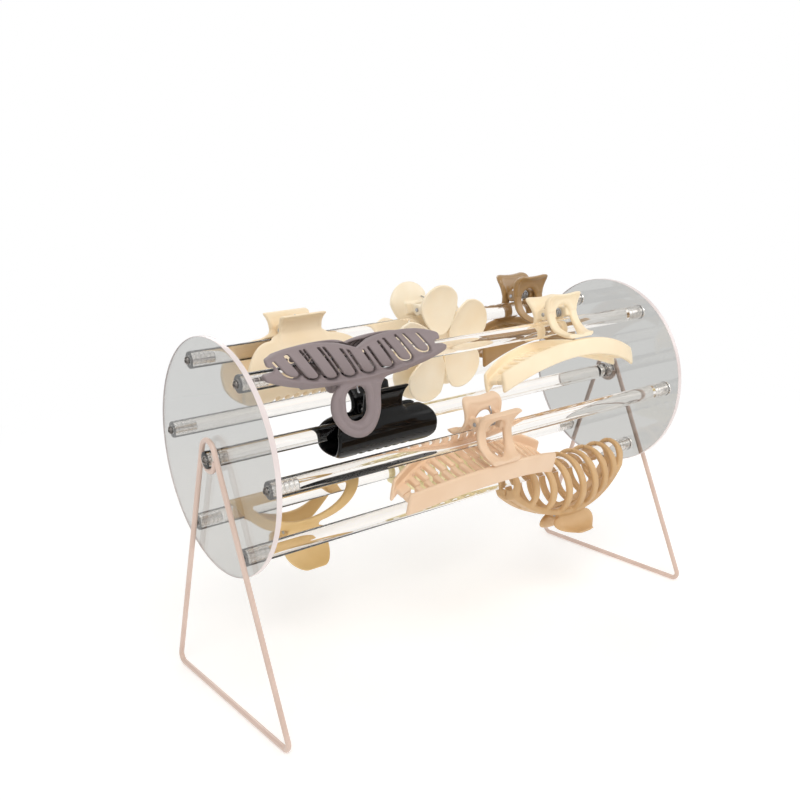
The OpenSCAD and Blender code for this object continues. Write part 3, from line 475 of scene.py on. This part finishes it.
def surface(field, lo, hi, step):
    """Points and quads, in mm, of the surface where the field is zero inside the box.

    Each grid cell that the surface crosses gets one point, in the middle of the crossings
    on its edges. Each crossed edge of the grid gets a quad between the cells round it.
    """
    origin = np.array(lo, float) - step * 1.5
    count = [int(math.ceil((b - a) / step)) + 4 for a, b in zip(lo, hi)]
    axes = [(o + step * np.arange(n)).astype(np.float32) for o, n in zip(origin, count)]
    value = field(*np.meshgrid(*axes, indexing="ij"))
    inside = value < 0
    size = [n - 1 for n in count]
    mixed = np.zeros(size, bool)
    first = inside[:-1, :-1, :-1]
    for dx, dy, dz in itertools.product((0, 1), repeat=3):
        mixed |= inside[dx:dx + size[0], dy:dy + size[1], dz:dz + size[2]] != first
    cells = np.argwhere(mixed)
    number = np.full(size, -1)
    number[mixed] = np.arange(len(cells))
    total = np.zeros((len(cells), 3))
    hits = np.zeros(len(cells))
    for axis in range(3):
        p, q = [a for a in range(3) if a != axis]
        for dp, dq in itertools.product((0, 1), repeat=2):
            start = cells.copy()
            start[:, p] += dp
            start[:, q] += dq
            end = start.copy()
            end[:, axis] += 1
            v0, v1 = value[tuple(start.T)], value[tuple(end.T)]
            crossed = (v0 < 0) != (v1 < 0)
            place = start.astype(float)
            place[:, axis] += np.where(crossed, v0 / np.where(crossed, v0 - v1, 1), 0)
            total += place * crossed[:, None]
            hits += crossed
    points = total / hits[:, None] * step + origin
    quads = []
    for axis in range(3):
        p, q = (axis + 1) % 3, (axis + 2) % 3
        lower, upper = [slice(None)] * 3, [slice(None)] * 3
        lower[axis], upper[axis] = slice(0, -1), slice(1, None)
        edges = np.argwhere(inside[tuple(lower)] != inside[tuple(upper)])
        corners = []
        for dp, dq in ((1, 1), (0, 1), (0, 0), (1, 0)):
            cell = edges.copy()
            cell[:, p] -= dp
            cell[:, q] -= dq
            corners.append(number[tuple(cell.T)])
        quad = np.stack(corners, 1)
        outward = inside[tuple(edges.T)]
        quad[~outward] = quad[~outward][:, ::-1]
        quads.append(quad)
    # settle the points on the true surface
    nudge = 0.02
    for _ in range(3):
        here = field(*points.T)
        ahead = [field(*(points + nudge * axis).T) for axis in np.eye(3)]
        slope = np.stack([there - here for there in ahead], 1) / nudge
        move = np.clip(here, -step / 2, step / 2) / np.maximum((slope ** 2).sum(1), 0.3)
        points = points - move[:, None] * slope
    return points, np.concatenate(quads)


def lathe(profile, segments):
    """Points and faces of a profile of (x, radius) turned round the X axis."""
    points, rings, faces = [], [], []
    for x, r in profile:
        if r < 1e-6:
            rings.append([len(points)])
            points.append((x, 0, 0))
        else:
            rings.append(list(range(len(points), len(points) + segments)))
            points += [(x, r * math.cos(a), r * math.sin(a))
                       for a in (2 * math.pi * i / segments for i in range(segments))]
    for a, b in zip(rings, rings[1:]):
        for i in range(segments):
            j = (i + 1) % segments
            if len(a) == 1:
                faces.append((a[0], b[j], b[i]))
            elif len(b) == 1:
                faces.append((a[i], a[j], b[0]))
            else:
                faces.append((a[i], a[j], b[j], b[i]))
    return points, faces


def tube(path, radius, sides=12):
    """Points and faces of a round wire along a path, with flat ends."""
    path = [Vector(p) for p in path]
    points, faces = [], []
    side = None
    for i, p in enumerate(path):
        t = (path[min(i + 1, len(path) - 1)] - path[max(i - 1, 0)]).normalized()
        if side is None:
            side = t.orthogonal().normalized()
        side = (side - t * side.dot(t)).normalized()
        other = t.cross(side)
        for s in range(sides):
            a = 2 * math.pi * s / sides
            points.append(p + radius * (side * math.cos(a) + other * math.sin(a)))
    for i in range(len(path) - 1):
        for s in range(sides):
            q = (s + 1) % sides
            a, b = i * sides, (i + 1) * sides
            faces.append((a + s, a + q, b + q, b + s))
    last = (len(path) - 1) * sides
    faces.append(tuple(range(sides - 1, -1, -1)))
    faces.append(tuple(range(last, last + sides)))
    return points, faces


def piece(name, parts, material, smooth=40):
    """One object from (points, faces, matrix) parts in mm, smooth up to this angle."""
    points, faces = [], []
    for part_points, part_faces, matrix in parts:
        start = len(points)
        m = np.array(matrix)
        moved = np.asarray([tuple(p) for p in part_points], float) @ m[:3, :3].T + m[:3, 3]
        flip = np.linalg.det(m[:3, :3]) < 0
        points += (moved / 1000).tolist()
        for f in part_faces:
            f = [start + int(i) for i in f]
            faces.append(f[::-1] if flip else f)
    mesh = bpy.data.meshes.new(name)
    mesh.from_pydata(points, [], faces)
    mesh.validate()
    mesh.shade_smooth()
    if smooth < 180:
        mesh.set_sharp_from_angle(angle=math.radians(smooth))
    mesh.materials.append(material)
    obj = bpy.data.objects.new(name, mesh)
    bpy.context.scene.collection.objects.link(obj)
    return obj


# Materials

def srgb(code):
    """Linear colour of a hex code."""
    values = [int(code[i:i + 2], 16) / 255 for i in (1, 3, 5)]
    return tuple(v / 12.92 if v <= 0.04045 else ((v + 0.055) / 1.055) ** 2.4 for v in values) + (1,)


class Nodes:
    """Short hand for building one material's node tree."""

    def __init__(self, name):
        self.material = bpy.data.materials.new(name)
        self.material.use_nodes = True
        self.tree = self.material.node_tree
        self.tree.nodes.clear()
        self.output = self.tree.nodes.new("ShaderNodeOutputMaterial")

    def add(self, kind, settings=None, **inputs):
        node = self.tree.nodes.new("ShaderNode" + kind)
        for key, value in (settings or {}).items():
            setattr(node, key, value)
        for key, value in inputs.items():
            self.feed(node.inputs[key.replace("_", " ")], value)
        return node

    def feed(self, socket, value):
        if isinstance(value, bpy.types.NodeSocket):
            self.tree.links.new(value, socket)
        else:
            socket.default_value = value

    def finish(self, shader):
        self.tree.links.new(shader, self.output.inputs["Surface"])
        return self.material


def ramp(nodes, factor, stops):
    """A colour ramp of (place, colour) stops."""
    node = nodes.add("ValToRGB")
    nodes.feed(node.inputs["Fac"], factor)
    elements = node.color_ramp.elements
    while len(elements) < len(stops):
        elements.new(0.5)
    for element, (place, colour) in zip(elements, stops):
        element.position = place
        element.color = colour
    return node.outputs["Color"]


def moulded(name, colour, shade, roughness, grain, coat=0.0, gloss=0.5):
    """Moulded plastic: soft mottling between two colours and a fine moulded grain."""
    nodes = Nodes(name)
    place = nodes.add("TexCoord").outputs["Object"]
    broad = nodes.add("TexNoise", Vector=place, Scale=38.0, Detail=3.0).outputs["Fac"]
    fine = nodes.add("TexNoise", Vector=place, Scale=2600.0, Detail=2.0).outputs["Fac"]
    colours = ramp(nodes, broad, [(0.3, srgb(shade)), (0.62, srgb(colour))])
    rough = nodes.add("MapRange", Value=broad, To_Min=roughness - 0.05, To_Max=roughness + 0.05)
    bump = nodes.add("Bump", Strength=grain, Distance=0.00004, Height=fine)
    shader = nodes.add("BsdfPrincipled", Base_Color=colours, Roughness=rough.outputs["Result"],
                       Normal=bump.outputs["Normal"], Coat_Weight=coat, Coat_Roughness=0.08,
                       Specular_IOR_Level=gloss)
    return nodes.finish(shader.outputs["BSDF"])


def acrylic(name, tint, roughness, ior=1.49):
    """Clear acrylic that lets lamps through, with a faint wear on its surface."""
    nodes = Nodes(name)
    place = nodes.add("TexCoord").outputs["Object"]
    wear = nodes.add("TexNoise", Vector=place, Scale=60.0, Detail=4.0).outputs["Fac"]
    rough = nodes.add("MapRange", Value=wear, From_Min=0.35, From_Max=0.75,
                      To_Min=roughness, To_Max=roughness + 0.03)
    glass = nodes.add("BsdfPrincipled", Base_Color=srgb(tint), Roughness=rough.outputs["Result"],
                      IOR=ior, Transmission_Weight=1.0)
    clear = nodes.add("BsdfTransparent", Color=(0.9, 0.91, 0.92, 1))
    path = nodes.add("LightPath")
    mix = nodes.add("MixShader", Fac=path.outputs["Is Shadow Ray"])
    nodes.feed(mix.inputs[1], glass.outputs["BSDF"])
    nodes.feed(mix.inputs[2], clear.outputs["BSDF"])
    return nodes.finish(mix.outputs["Shader"])


def metal(name, colour, roughness, streak=0.06):
    """Bright drawn or plated metal with a faint streak along its length."""
    nodes = Nodes(name)
    place = nodes.add("TexCoord").outputs["Object"]
    stretch = nodes.add("Mapping", Vector=place, Scale=(60.0, 900.0, 900.0))
    lines = nodes.add("TexNoise", Vector=stretch.outputs["Vector"], Scale=3.0, Detail=2.0)
    rough = nodes.add("MapRange", Value=lines.outputs["Fac"], To_Min=roughness - streak,
                      To_Max=roughness + streak)
    shader = nodes.add("BsdfPrincipled", Base_Color=srgb(colour), Metallic=1.0,
                       Roughness=rough.outputs["Result"])
    return nodes.finish(shader.outputs["BSDF"])


LOOKS = {
    "cream": moulded("cream_plastic", "#FAE7C8", "#F6E0BC", 0.48, 0.25),
    "wave": moulded("wave_plastic", "#8F8283", "#877A7B", 0.55, 0.5),
    "black": moulded("black_plastic", "#0A0A0B", "#070708", 0.1, 0.0, 0.0, 0.22),
    "flower": moulded("flower_plastic", "#FFF3DB", "#FCEACB", 0.38, 0.1, 0.2),
    "khaki": moulded("khaki_plastic", "#AC8A5A", "#A07C4C", 0.3, 0.15, 0.35),
    "ivory": moulded("ivory_plastic", "#FFEFD0", "#FBE6C4", 0.45, 0.25),
    "peach": moulded("peach_plastic", "#EED0B2", "#E8C7A6", 0.5, 0.3),
    "loop": moulded("loop_plastic", "#DFBF88", "#D6B378", 0.42, 0.2),
    "ribbed": moulded("ribbed_plastic", "#D3AF80", "#C9A272", 0.45, 0.25),
    "pale": moulded("pale_plastic", "#E9DDAE", "#E2D4A0", 0.42, 0.2),
}
CLEAR = acrylic("clear_acrylic", "#FAF7F3", 0.0, 1.34)
SHEET = acrylic("clear_sheet", "#C8C8C6", 0.02)
# the sheets' cut edges get an opaque pale pink: painted light that stands in for the glow carried
# through the clear acrylic edge
PAINTED_GLOW_RIM = moulded("sheet_rim_painted_glow", "#EBE0DF", "#E2D5D3", 0.25, 0.0, 0.3)
STEEL = metal("hinge_steel", "#B4B5B8", 0.3)
BRIGHT = metal("insert_steel", "#E2E1E0", 0.22)
DARK = metal("screw_steel", "#827D79", 0.3)
ROSE = moulded("rose_wire", "#DDC5B8", "#D4BAAC", 0.35, 0.2, 0.3)

# Claws

FAMILIES = {"plain": plain_jaw, "wave": wave_jaw, "flower": flower_jaw, "arched": arched_jaw,
            "loop": loop_jaw, "ribbed": ribbed_jaw}


def front_side(claw):
    """-1 where a claw's front jaw lies towards its local -Y, 1 where it hangs upside down."""
    return 1 if claw["tilt"] > 90 else -1


def jaw(name, claw, which):
    """One jaw of a claw, meshed in the claw's own frame and hung in its place."""
    side = front_side(claw) if which == "front" else -front_side(claw)
    inner = claw["inner"] == which
    field, (half, out, deep, up) = FAMILIES[claw["family"]](claw, side, inner)
    if claw["flare_r"]:
        # room for the thumb plate, which flares out on its arc
        r = claw["flare_r"]
        out = max(out, THUMB_Y + r - math.sqrt(max(r * r - up * up, 0)) + SHELL + 3)
    low, high = (-half - 1, -out - 1, -deep - 1), (half + 1, LUG_R + 1, up + 1)
    points, quads = surface(field, low, high, GRID)
    flip = Matrix.Diagonal((1, -side, 1, 1)) if side > 0 else Matrix.Identity(4)
    parts = [(points, quads, claw_matrix(claw) @ flip)]
    obj = piece(f"{name}_{which}_jaw_skin", parts, LOOKS[name], 180)
    body = f"{name}_claw_jaw" if claw["turns"] == which else "drum"
    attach(obj, body)
    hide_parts(f"{name}_claw_{which}_jaw")


def spring_path(claw):
    """The centre line of a claw's spring: leg, coil, leg."""
    if claw["family"] == "flower":
        foot, lean = (13, SPRING_FOOT), 0
    else:
        r = claw["flare_r"]
        lean = math.asin(SPRING_FOOT / r)
        foot = (THUMB_Y + r * (1 - math.cos(lean)), r * math.sin(lean))
    stub = (foot[0] - COIL_WIRE * math.cos(lean), foot[1] + COIL_WIRE * math.sin(lean))
    leg = [foot, stub, (COIL_R, COIL_R * 1.6), (COIL_R, COIL_R * 0.8)]
    rings = round(24 * CURLS)
    path = [(-COIL_L / 2, -p[0], p[1]) for p in leg]
    for i in range(rings + 1):
        a = math.pi + 2 * math.pi * CURLS * i / rings
        path.append((COIL_L * (i / rings - 0.5), COIL_R * math.cos(a), COIL_R * math.sin(a)))
    return path + [(COIL_L / 2, p[0], p[1]) for p in reversed(leg)]


def hinge(name, claw):
    """A claw's pin and spring."""
    place = claw_matrix(claw)
    half, r, dome = PIN_L / 2, PIN_D / 2, 0.35
    end = [(half, 0), (half, r - dome), (half - dome, r)]
    points, faces = lathe([(-x, radius) for x, radius in end] + end[::-1], 32)
    pin = piece(f"{name}_pin", [(points, faces, place)], STEEL)
    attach(pin, "drum")
    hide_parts(f"{name}_claw_pin")
    points, faces = tube(spring_path(claw), COIL_WIRE / 2)
    spring = piece(f"{name}_spring", [(points, faces, place)], STEEL, 60)
    side = front_side(claw) if claw["turns"] == "front" else -front_side(claw)
    end = Vector((claw["x"] + side * COIL_L / 2, 0, 0)) / 1000
    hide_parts(f"{name}_claw_spring")
    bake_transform(spring)


for claw_name, claw_sizes in CLAWS.items():
    for which_jaw in ("front", "rear"):
        jaw(claw_name, claw_sizes, which_jaw)
    hinge(claw_name, claw_sizes)

# Drum

def sheet_with_holes(name, x, thickness, circles, material):
    """A round sheet with round holes and softened edges, from (y, z, r) circles, in mm."""
    soft = 0.25
    curve = bpy.data.curves.new(name, "CURVE")
    curve.dimensions = "2D"
    curve.fill_mode = "BOTH"
    curve.extrude = (thickness / 2 - soft) / 1000
    curve.bevel_depth = soft / 1000
    curve.bevel_resolution = 2
    for i, (y, z, r) in enumerate(circles):
        r += -soft if i == 0 else soft
        count = 180 if i == 0 else 48
        spline = curve.splines.new("POLY")
        spline.points.add(count - 1)
        for j in range(count):
            a = 2 * math.pi * j / count
            spline.points[j].co = ((y + r * math.cos(a)) / 1000, (z + r * math.sin(a)) / 1000, 0, 1)
        spline.use_cyclic_u = True
    holder = bpy.data.objects.new(name + "_curve", curve)
    bpy.context.scene.collection.objects.link(holder)
    bpy.context.view_layer.update()
    depsgraph = bpy.context.evaluated_depsgraph_get()
    mesh = bpy.data.meshes.new_from_object(holder.evaluated_get(depsgraph))
    bpy.data.objects.remove(holder)
    mesh.transform(Matrix(((0, 0, 1, x / 1000), (1, 0, 0, 0), (0, 1, 0, 0), (0, 0, 0, 1))))
    mesh.shade_smooth()
    mesh.set_sharp_from_angle(angle=math.radians(25))
    mesh.materials.clear()
    mesh.materials.append(material)
    mesh.materials.append(PAINTED_GLOW_RIM)
    y, z, r = circles[0]
    # faces round the outer edge take the opaque rim material with its painted glow
    for polygon in mesh.polygons:
        away = math.hypot(polygon.center[1] - y / 1000, polygon.center[2] - z / 1000)
        polygon.material_index = int(away * 1000 > r - soft)
    obj = bpy.data.objects.new(name, mesh)
    bpy.context.scene.collection.objects.link(obj)
    return obj


def screw_points():
    """A pan head screw with a cross recess, its seat at x = 0 and its head towards -X."""
    r, turn = HEAD_D / 2, math.radians(20)
    arm_w, arm_l, recess = HEAD_D * 0.08, HEAD_D * 0.31, HEAD_H * 0.35

    def field(x, y, z):
        rho = np.hypot(y, z)
        dome = np.hypot(x + HEAD_H * 0.1, rho * 0.52) - HEAD_H * 0.98
        head = both(both(dome, rho - r, 0.3), slab(x, -HEAD_H, 0), 0.25)
        p = y * math.cos(turn) + z * math.sin(turn)
        q = z * math.cos(turn) - y * math.sin(turn)
        cross = np.minimum(both(np.abs(p) - arm_w, np.abs(q) - arm_l, 0.1),
                           both(np.abs(q) - arm_w, np.abs(p) - arm_l, 0.1))
        return cut(head, np.maximum(cross, x + recess), 0.08)
    return surface(field, (-HEAD_H, -r, -r), (0, r, r), HEAD_GRID)


def shank_points():
    """A threaded shank from x = 0 towards +X."""
    r, pitch, start, depth = SHANK_D / 2, 0.5, 0.6, 0.22
    thread = [(0, r)]
    for i in range(int((SHANK_L - 1) / pitch)):
        thread += [(start + pitch * i, r), (start + pitch * (i + 0.5), r - depth)]
    return lathe(thread + [(SHANK_L - 0.3, r - 0.2), (SHANK_L, r - 0.6), (SHANK_L, 0)], 24)


def insert_points():
    """A threaded insert with four grooves, its open end at x = 0."""
    r, soft, groove = INSERT_D / 2, 0.2, 0.25
    knurl = [(0, SHANK_D / 2 + 0.05), (0, r - soft), (soft, r)]
    for i in range(1, 5):
        x = INSERT_L * i / 5
        knurl += [(x - 2 * groove, r), (x - groove, r - groove),
                  (x + groove, r - groove), (x + 2 * groove, r)]
    return lathe(knurl + [(INSERT_L - soft, r), (INSERT_L, r - soft), (INSERT_L, 0)], 40)


def discs(rods):
    """Two end sheets with a hole for the axle and six for the screws."""
    hole, fit = SHANK_D / 2 + 0.2, 0.05
    for side, name in ((-1, "left"), (1, "right")):
        circles = [(0, AXLE_H, DISC_D / 2), (0, AXLE_H, ROD_R + fit)]
        circles += [(y, z, hole) for y, z in rods]
        x = side * (DISC_X + DISC_T / 2)
        disc = sheet_with_holes(f"{name}_disc_sheet", x, DISC_T, circles, SHEET)
        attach(disc, "drum")
        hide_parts(f"{name}_disc")


def clear_rods():
    """The six rods and the axle, bored at both ends for the inserts."""
    soft, bore, short = 0.5, INSERT_D / 2 - 0.03, 0.04
    for k in range(7):
        half = AXLE_END if k == 0 else DISC_X - short
        end = [(half - INSERT_L, 0), (half - INSERT_L, bore), (half, bore), (half, ROD_R - soft),
               (half - soft * 0.3, ROD_R - soft * 0.3), (half - soft, ROD_R)]
        points, faces = lathe([(-x, r) for x, r in end] + end[::-1], 64)
        y, z = rod_place(k)
        name = "axle" if k == 0 else f"rod_{k}"
        rod = piece(f"{name}_clear", [(points, faces, Matrix.Translation((0, y, z)))], CLEAR, 35)
        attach(rod, "drum")
        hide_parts(name)


def fasteners(rods):
    """Seven screws and seven inserts at each end."""
    head, shank, sleeve = screw_points(), shank_points(), insert_points()
    for side, name in ((-1, "left"), (1, "right")):
        # where each screw sits, and the X of the rod's end
        places = [(side * END_X, y, z, side * DISC_X) for y, z in rods]
        places.append((side * AXLE_END, 0, AXLE_H, side * AXLE_END))
        inwards = Matrix.Diagonal((-side, 1, 1, 1))
        screw_parts, insert_parts = [], []
        for x, y, z, face in places:
            seat = Matrix.Translation((x, y, z)) @ inwards
            screw_parts += [(*head, seat), (*shank, seat)]
            insert_parts.append((*sleeve, Matrix.Translation((face, y, z)) @ inwards))
        screws = piece(f"{name}_screw_set", screw_parts, DARK, 35)
        inserts = piece(f"{name}_insert_set", insert_parts, BRIGHT, 35)
        for obj, node in ((screws, f"{name}_screws"), (inserts, f"{name}_inserts")):
            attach(obj, "drum")
            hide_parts(node)


outer_rods = [rod_place(rod) for rod in range(1, 7)]
discs(outer_rods)
clear_rods()
fasteners(outer_rods)

# Stands

for stand in ("left_stand", "right_stand"):
    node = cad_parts[stand]
    node.data.materials.clear()
    node.data.materials.append(ROSE)
    for polygon in node.data.polygons:
        polygon.material_index = 0

# Stage, light and camera

def ground():
    """A floor that takes the object's shadow and is plain white further out."""
    nodes = Nodes("pale_floor")
    shader = nodes.add("BsdfDiffuse", Color=(0.86, 0.855, 0.85, 1))
    white = nodes.add("Emission", Color=(1, 1, 1, 1), Strength=1.0)
    lift = nodes.add("Emission", Color=(1, 1, 1, 1), Strength=0.3)
    lit = nodes.add("AddShader")
    nodes.feed(lit.inputs[0], shader.outputs["BSDF"])
    nodes.feed(lit.inputs[1], lift.outputs["Emission"])
    # away from the object the floor turns into plain white
    place = nodes.add("TexCoord").outputs["Object"]
    reach = nodes.add("VectorMath", {"operation": "LENGTH"})
    nodes.feed(reach.inputs[0], place)
    far = nodes.add("MapRange", {"interpolation_type": "SMOOTHSTEP"}, Value=reach.outputs["Value"],
                    From_Min=0.3, From_Max=0.75)
    mix = nodes.add("MixShader", Fac=far.outputs["Result"])
    nodes.feed(mix.inputs[1], lit.outputs["Shader"])
    nodes.feed(mix.inputs[2], white.outputs["Emission"])
    mesh = bpy.data.meshes.new("floor")
    size = 6
    corners = [(-size, -size, 0), (size, -size, 0), (size, size, 0), (-size, size, 0)]
    mesh.from_pydata(corners, [], [(0, 1, 2, 3)])
    mesh.materials.append(nodes.finish(mix.outputs["Shader"]))
    obj = bpy.data.objects.new("floor", mesh)
    bpy.context.scene.collection.objects.link(obj)


def sky():
    """A soft warm light all round, which the camera and clear or glossy things see as white."""
    world = bpy.data.worlds.new("studio")
    bpy.context.scene.world = world
    world.use_nodes = True
    tree = world.node_tree
    tree.nodes.clear()
    path = tree.nodes.new("ShaderNodeLightPath")
    light = tree.nodes.new("ShaderNodeBackground")
    light.inputs["Color"].default_value = (1.0, 0.985, 0.965, 1)
    light.inputs["Strength"].default_value = 0.55
    white = tree.nodes.new("ShaderNodeBackground")
    white.inputs["Color"].default_value = (1, 1, 1, 1)
    white.inputs["Strength"].default_value = 1.0
    seen = tree.nodes.new("ShaderNodeMath")
    seen.operation = "MAXIMUM"
    glossy = tree.nodes.new("ShaderNodeMath")
    glossy.operation = "MAXIMUM"
    tree.links.new(path.outputs["Is Camera Ray"], seen.inputs[0])
    tree.links.new(path.outputs["Is Transmission Ray"], seen.inputs[1])
    tree.links.new(seen.outputs[0], glossy.inputs[0])
    tree.links.new(path.outputs["Is Glossy Ray"], glossy.inputs[1])
    mix = tree.nodes.new("ShaderNodeMixShader")
    tree.links.new(glossy.outputs[0], mix.inputs[0])
    tree.links.new(light.outputs[0], mix.inputs[1])
    tree.links.new(white.outputs[0], mix.inputs[2])
    out = tree.nodes.new("ShaderNodeOutputWorld")
    tree.links.new(mix.outputs[0], out.inputs["Surface"])


def lamp(name, place, size, watts, colour=(1, 1, 1), target=(0, 0, 0.12)):
    """A round area lamp that faces its target."""
    data = bpy.data.lights.new(name, "AREA")
    data.shape = "DISK"
    data.size = size
    data.energy = watts
    data.color = colour
    obj = bpy.data.objects.new(name, data)
    obj.location = place
    obj.rotation_euler = (Vector(target) - Vector(place)).to_track_quat("-Z", "Y").to_euler()
    bpy.context.scene.collection.objects.link(obj)


def camera():
    """The camera that was solved from the rods in the reference picture."""
    data = bpy.data.cameras.new("camera")
    data.sensor_width = 36
    data.lens = 42.72
    obj = bpy.data.objects.new("camera", data)
    right = Vector((0.79517, -0.60509, -0.03957))
    down = Vector((-0.17090, -0.16101, -0.97204))
    ahead = Vector((0.58180, 0.77970, -0.23144))
    turn = Matrix((right, -down, -ahead)).transposed().to_4x4()
    obj.matrix_world = Matrix.Translation((-0.35722, -0.43832, 0.28066)) @ turn
    bpy.context.scene.collection.objects.link(obj)
    bpy.context.scene.camera = obj


ground()
sky()
lamp("key", (-0.5, -0.9, 1.3), 1.0, 9, (1.0, 0.98, 0.95))
lamp("fill", (1.1, -0.6, 0.7), 0.9, 2.5)
lamp("back", (0.2, 1.1, 0.9), 0.9, 3)
camera()

bpy.context.scene.view_settings.view_transform = "Standard"
